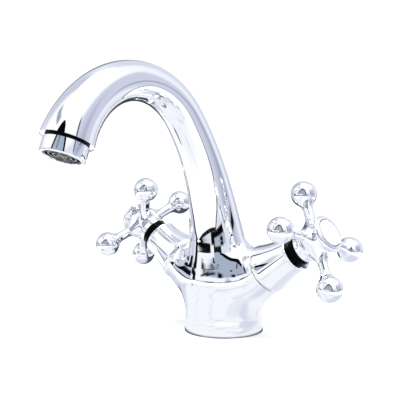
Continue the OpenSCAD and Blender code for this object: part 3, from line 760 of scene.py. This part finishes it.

# painted shade: the sleeve's threaded neck and the bore round each button get the dull near-black finish, so the
# narrow gaps there look dark
shadedGapPlaces = [(sleeve, outletPlace(), outletPlan), (hotHandle, handlePlace("hot"), rimPlan),
              (coldHandle, handlePlace("cold"), rimPlan)]
for piece, place, plan in shadedGapPlaces:
    piece.data.materials.append(finishes["insert_steel"])
    toPiece = place.inverted()
    (inner, outer), (low, high) = plan["shadedRadii"], plan["shadedHeights"]
    for face in piece.data.polygons:
        local = toPiece @ face.center * 1000
        if inner < math.hypot(local.x, local.y) < outer and low < local.z < high:
            face.material_index = 1

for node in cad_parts.values():
    if not node.hide_render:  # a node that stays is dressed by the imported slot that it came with
        for slot in node.material_slots:
            slot.material = finishes[slot.material.name.split(".")[0]]
print("materials set")


# Studio: white table and white room, with dark and grey cards that only the chrome shows

cameraPlan = {"at": (344.7, -446.9, 136.8), "azimuth": 39.19, "elevation": 5.46, "lens": 80.9, "sensor": 36,
              "clip": (20, 20000)}


def aimAt(turn, height):
    # a direction from its turn about the upright axis and its height above the horizon
    az, el = math.radians(turn), math.radians(height)
    return Vector((math.sin(az) * math.cos(el), -math.cos(az) * math.cos(el), math.sin(el)))


def makeCamera():
    p = cameraPlan
    back, right = aimAt(p["azimuth"], p["elevation"]), aimAt(p["azimuth"] + 90, 0)
    data = bpy.data.cameras.new("photoCamera")
    data.lens, data.sensor_width = p["lens"], p["sensor"]
    data.clip_start, data.clip_end = (v / 1000 for v in p["clip"])
    camera = bpy.data.objects.new("photoCamera", data)
    bpy.context.scene.collection.objects.link(camera)
    turn = Matrix((right, back.cross(right), back)).transposed().to_4x4()
    camera.matrix_world = Matrix.Translation(Vector(p["at"]) / 1000) @ turn
    bpy.context.scene.camera = camera


# The table, in metres. In the chrome it is a pale glowing sheet with painted shade: a dark painted contact shadow
# right at the foot, painted shade a little further out, to the sides and in cloudy patches, and grey behind the
# tap. Each reach says where a tone starts and where it is full.
tablePlan = {
    "left": -0.30, "right": 0.30, "front": -0.36, "back": 0.26,
    "paint": "#FCFCFC", "paintRough": 0.9, "paintGloss": 0.1, "paintGlow": 0.3, "glow": 1.2,
    "contactShadowTone": "#4A4E5B", "contactReach": (0.0255, 0.031), "nearShadeTone": "#ECEDF1",
    "sideShadeTone": "#CDD2DE", "sideReach": (0.02, 0.075),
    "frontReach": (-0.03, 0.0), "frontShift": -0.08,  # in front of the tap the side tone starts further out
    "cloud": 0.030, "cloudReach": (0.5, 0.75), "farTone": "#FFFFFF", "nearReach": (0.115, 0.165),
    "backTone": "#4A4E5B", "backAim": (-0.63, 0.777, 0), "backReach": (0.74, 0.93),
    "dark": "#060607", "ledge": 0.009, "disc": (-0.096, -0.087, 0.0005), "discRadius": 0.010, "discSides": 48,
}


def tableMaterial():
    p = tablePlan
    material, tree, shader = startMaterial("matteTablePaint")
    for socket, value in (("Base Color", linear(p["paint"])), ("Roughness", p["paintRough"]),
                          ("Specular IOR Level", p["paintGloss"]), ("Emission Color", linear("#FFFFFF")),
                          ("Emission Strength", p["paintGlow"])):
        shader.inputs[socket].default_value = value
    place = addNode(tree, "ShaderNodeTexCoord").outputs["Object"]
    parts = addNode(tree, "ShaderNodeSeparateXYZ", None, {"Vector": place})
    across = addNode(tree, "ShaderNodeMath", {"operation": "ABSOLUTE"}, {0: parts.outputs["X"]})
    ahead = addNode(tree, "ShaderNodeMapRange", {"From Min": p["frontReach"][0], "From Max": p["frontReach"][1],
                                                 "To Min": p["frontShift"], "To Max": 0.0},
                    {"Value": parts.outputs["Y"]})
    sideways = addNode(tree, "ShaderNodeMath", {"operation": "ADD"}, {0: across.outputs[0], 1: ahead.outputs[0]})
    reach = addNode(tree, "ShaderNodeVectorMath", {"operation": "LENGTH"}, {0: place}).outputs["Value"]
    heading = addNode(tree, "ShaderNodeVectorMath", {"operation": "NORMALIZE"}, {0: place})
    along = addNode(tree, "ShaderNodeVectorMath", {"operation": "DOT_PRODUCT", 1: p["backAim"]},
                    {0: heading.outputs[0]})
    cloud = addNode(tree, "ShaderNodeTexNoise", {"Scale": 1 / p["cloud"], "Detail": 1.0}, {"Vector": place})
    # painted shadow and shade on the sheet that the chrome sees: a contact shadow at the foot, shade about it, to
    # the sides and in cloudy patches, then white further out and grey behind the tap
    tones = (("nearShadeTone", reach, "contactReach"), ("sideShadeTone", sideways.outputs[0], "sideReach"),
             ("sideShadeTone", cloud.outputs["Fac"], "cloudReach"), ("farTone", reach, "nearReach"),
             ("backTone", along.outputs["Value"], "backReach"))
    colour = None
    for tone, value, span in tones:
        share = addNode(tree, "ShaderNodeMapRange", {"interpolation_type": "SMOOTHSTEP", "From Min": p[span][0],
                                                     "From Max": p[span][1]}, {"Value": value}).outputs[0]
        links = {0: share, 6: colour} if colour else {0: share}
        colour = addNode(tree, "ShaderNodeMix", {"data_type": "RGBA", 6: linear(p["contactShadowTone"]),
                                                 7: linear(p[tone])}, links).outputs[2]
    sheet = addNode(tree, "ShaderNodeEmission", {"Strength": p["glow"]}, {"Color": colour})
    path = addNode(tree, "ShaderNodeLightPath")
    seen = addNode(tree, "ShaderNodeMixShader", None, {0: path.outputs["Is Glossy Ray"], 1: shader.outputs[0],
                                                       2: sheet.outputs[0]})
    tree.links.new(seen.outputs[0], tree.nodes["Material Output"].inputs["Surface"])
    return material


def makeFloor():
    p = tablePlan
    clearPick()
    bpy.ops.mesh.primitive_plane_add(size=1, location=((p["left"] + p["right"]) / 2,
                                                       (p["front"] + p["back"]) / 2, 0))
    bpy.context.object.scale = (p["right"] - p["left"], p["back"] - p["front"], 1)
    floor = addedPiece("studioTable")
    ledge = copyPiece(floor, "tableLedge")
    floor.data.materials.append(tableMaterial())
    # a low dark ledge round the table and a small dark disc on it, which only the chrome sees
    pick(ledge)
    editMode("EDGE")
    bpy.ops.mesh.select_all(action="SELECT")
    bpy.ops.mesh.delete(type="ONLY_FACE")
    bpy.ops.mesh.select_all(action="SELECT")
    bpy.ops.mesh.extrude_region_move(TRANSFORM_OT_translate={"value": (0, 0, p["ledge"])})
    clearPick()
    bpy.ops.mesh.primitive_circle_add(vertices=p["discSides"], radius=p["discRadius"], fill_type="NGON",
                                      location=p["disc"])
    disc = addedPiece("tableDisc")
    dark, tree, shader = startMaterial("blackFlagPaper")
    shader.inputs["Base Color"].default_value = linear(p["dark"])
    shader.inputs["Specular IOR Level"].default_value = 0.0
    for piece in (ledge, disc):
        piece.data.materials.append(dark)
        piece.visible_camera = piece.visible_shadow = piece.visible_diffuse = False


# The room seen in the chrome. Turns count from straight ahead of the spout, towards the cold side, and
# heights from the horizon, both in degrees. Each sheet or card: colour, turn from-to, height from-to,
# softness, and how much it climbs from its first turn to its last. The arch is an ellipse of grey paper
# with a black rim, whose width is a share of its size.
roomPlan = {
    "strength": 1.12,
    # behind the tap the room is dark, which draws the thin outline of polished chrome on white
    "behind": {"turn": 219, "height": -6, "tones": [(0, "#2C2E37"), (24, "#444753"), (36, "#A0A5B5"),
                                                    (47, "#DCE0EB"), (70, "#F4F5FA"), (95, "#FFFFFF")]},
    "sheets": [
        ("#C9CDDE", (88, 150), (-30, 34), (14, 12), 0),
        ("#AEB4C6", (98, 128), (-8, 20), (14, 12), 0),
        ("#C4CAD8", (-118, -78), (22, 80), (24, 20), 0),
        ("#D4D8E6", (-180, -140), (-4, 60), (20, 24), 0),
        ("#C6CCD9", (-38, 3), (-13, 20), (14, 14), 0),
        ("#D9DDE8", (0, 88), (-13, 16), (10, 14), 0),
        ("#9EA6B6", (-60, -16), (51, 58), (12, 3), 0),
        ("#C6CBDA", (-122, -62), (-30, 12), (12, 12), 0),
        ("#A3A8BC", (106, 145), (-4, 1), (8, 2), 0),
    ],
    "arch": {"middle": (18, 8), "size": (32.5, 44), "heights": (-1, 60), "softness": 2,
             "paper": "#A3AFC1", "paperSoftness": 0.5, "rim": 0.11, "rimTone": "#060608", "rimSoftness": 1},
    "cards": [
        ("#08080B", (116, 136), (1, 2.6), (3, 0.4), 0),
        ("#08080B", (-108, -66), (-3.6, -1.4), (8, 0.5), 3.1),
        ("#08080B", (-64, -44), (1.4, 3.8), (3, 0.6), 0),
        ("#F4F5F9", (-40, 25), (-5, 7.0), (2, 3), 0),
        ("#060608", (-24, 15), (3.6, 5.2), (8, 1.4), 6.6),
        ("#060608", (18.5, 23), (6.5, 12.5), (2.5, 2.5), 0),
        ("#060608", (-42, 13), (-9.6, -6.0), (5, 1.5), 4.0),
        ("#060608", (17.5, 27), (-9, -3.8), (3, 1.0), 0),
        ("#A9B4C4", (28, 76), (-7.0, -1.0), (4, 1.0), 1.5),
        ("#060608", (26, 54), (-2.6, -1.4), (2, 0.5), 2.2),
        ("#060608", (26, 74), (-8.6, -5.6), (2, 0.8), 3.2),
        ("#060608", (25.5, 31), (-7.5, -2.0), (2, 1.0), 0),
        ("#08080B", (-56, -44), (-14, 4), (3.0, 2.5), 0),
        ("#050507", (12.8, 16.2), (24, 54), (0.8, 3.0), 0),
        ("#22252E", (92, 96), (1, 36), (1.5, 5), 0),
        ("#0A0A0D", (54, 66), (-3.2, -0.4), (4, 1.2), 1.0),
        ("#060608", (22, 24), (17.5, 20), (1.0, 1.0), 0),
    ],
}


def makeRoom():
    p = roomPlan
    world = bpy.data.worlds.new("softStudio")
    world.use_nodes = True
    bpy.context.scene.world = world
    tree = world.node_tree
    tree.nodes.clear()
    look = addNode(tree, "ShaderNodeTexCoord").outputs["Generated"]
    parts = addNode(tree, "ShaderNodeSeparateXYZ", None, {"Vector": look})
    height = addNode(tree, "ShaderNodeMath", {"operation": "ARCSINE"}, {0: parts.outputs["Z"]}).outputs[0]
    ahead = addNode(tree, "ShaderNodeMath", {"operation": "MULTIPLY", 1: -1.0}, {0: parts.outputs["Y"]}).outputs[0]
    turn = addNode(tree, "ShaderNodeMath", {"operation": "ARCTAN2"}, {0: parts.outputs["X"], 1: ahead}).outputs[0]

    def within(value, low, high, soft):
        # one between low and high, zero outside, with soft edges
        edges = []
        for at, start, end in ((low, 0.0, 1.0), (high, 1.0, 0.0)):
            edges.append(addNode(tree, "ShaderNodeMapRange",
                                 {"interpolation_type": "SMOOTHSTEP", "From Min": at - soft / 2,
                                  "From Max": at + soft / 2, "To Min": start, "To Max": end},
                                 {"Value": value}).outputs[0])
        return addNode(tree, "ShaderNodeMath", {"operation": "MULTIPLY"}, {0: edges[0], 1: edges[1]}).outputs[0]

    def lay(shade, layers):
        # each layer is a colour and the two masks that bound it
        for colour, one, other in layers:
            mask = addNode(tree, "ShaderNodeMath", {"operation": "MULTIPLY"}, {0: one, 1: other}).outputs[0]
            shade = addNode(tree, "ShaderNodeMix", {"data_type": "RGBA", 7: linear(colour)},
                            {0: mask, 6: shade}).outputs[2]
        return shade

    def patches(rows):
        for colour, turns, heights, softness, climb in rows:
            level = height
            if climb:
                slope = climb / (turns[1] - turns[0])
                level = addNode(tree, "ShaderNodeMath", {"operation": "MULTIPLY_ADD", 1: -slope,
                                                         2: math.radians(slope * turns[0])}, {0: turn}).outputs[0]
                level = addNode(tree, "ShaderNodeMath", {"operation": "ADD"}, {0: level, 1: height}).outputs[0]
            yield (colour, within(turn, *map(math.radians, (*turns, softness[0]))),
                   within(level, *map(math.radians, (*heights, softness[1]))))

    behind, arch = p["behind"], p["arch"]
    along = addNode(tree, "ShaderNodeVectorMath", {"operation": "DOT_PRODUCT",
                                                   1: aimAt(behind["turn"], behind["height"])}, {0: look})
    away = addNode(tree, "ShaderNodeMath", {"operation": "ARCCOSINE"}, {0: along.outputs["Value"]})
    share = addNode(tree, "ShaderNodeMath", {"operation": "DIVIDE", 1: math.pi}, {0: away.outputs[0]})
    ramp = addNode(tree, "ShaderNodeValToRGB", None, {"Fac": share.outputs[0]})
    stops = ramp.color_ramp.elements
    for at, colour in behind["tones"][1:]:
        stops.new(at / 180).color = linear(colour)
    stops.remove(stops[-1])
    stops[0].color = linear(behind["tones"][0][1])

    offsets = []
    for value, middle, size in zip((turn, height), arch["middle"], arch["size"]):
        offsets.append(addNode(tree, "ShaderNodeMath", {"operation": "MULTIPLY_ADD", 1: 1 / math.radians(size),
                                                        2: -middle / size}, {0: value}).outputs[0])
    spot = addNode(tree, "ShaderNodeCombineXYZ", None, {"X": offsets[0], "Y": offsets[1]})
    around = addNode(tree, "ShaderNodeVectorMath", {"operation": "LENGTH"}, {0: spot.outputs[0]}).outputs["Value"]
    above = within(height, *map(math.radians, (*arch["heights"], arch["softness"])))
    inner, outer = 1 - arch["rim"], 1 + arch["rim"]
    archLayers = [(arch["paper"], within(around, -1, outer, math.radians(arch["paperSoftness"])), above),
                  (arch["rimTone"], within(around, inner, outer, math.radians(arch["rimSoftness"])), above)]

    shade = lay(ramp.outputs["Color"], [*patches(p["sheets"]), *archLayers, *patches(p["cards"])])
    # the camera itself looks at plain white, while the chrome sees the room
    path = addNode(tree, "ShaderNodeLightPath")
    shown = addNode(tree, "ShaderNodeMix", {"data_type": "RGBA", 7: linear("#FFFFFF")},
                    {0: path.outputs["Is Camera Ray"], 6: shade})
    light = addNode(tree, "ShaderNodeBackground", {"Strength": p["strength"]}, {"Color": shown.outputs[2]})
    addNode(tree, "ShaderNodeOutputWorld", None, {"Surface": light.outputs["Background"]})


lampPlan = {"at": (0.1, 0.0, 1.3), "aim": (0, 0, 0.05), "size": 1.0, "power": 14.0}  # in metres and watts


def makeLamp():
    p = lampPlan
    data = bpy.data.lights.new("overheadBox", "AREA")
    data.shape, data.size, data.energy = "DISK", p["size"], p["power"]
    lamp = bpy.data.objects.new("overheadBox", data)
    bpy.context.scene.collection.objects.link(lamp)
    lamp.location = p["at"]
    lamp.rotation_euler = (Vector(p["aim"]) - Vector(p["at"])).to_track_quat("-Z", "Y").to_euler()


makeCamera()
makeFloor()
makeRoom()
makeLamp()
bpy.context.scene.view_settings.view_transform = "Standard"
print("studio made")
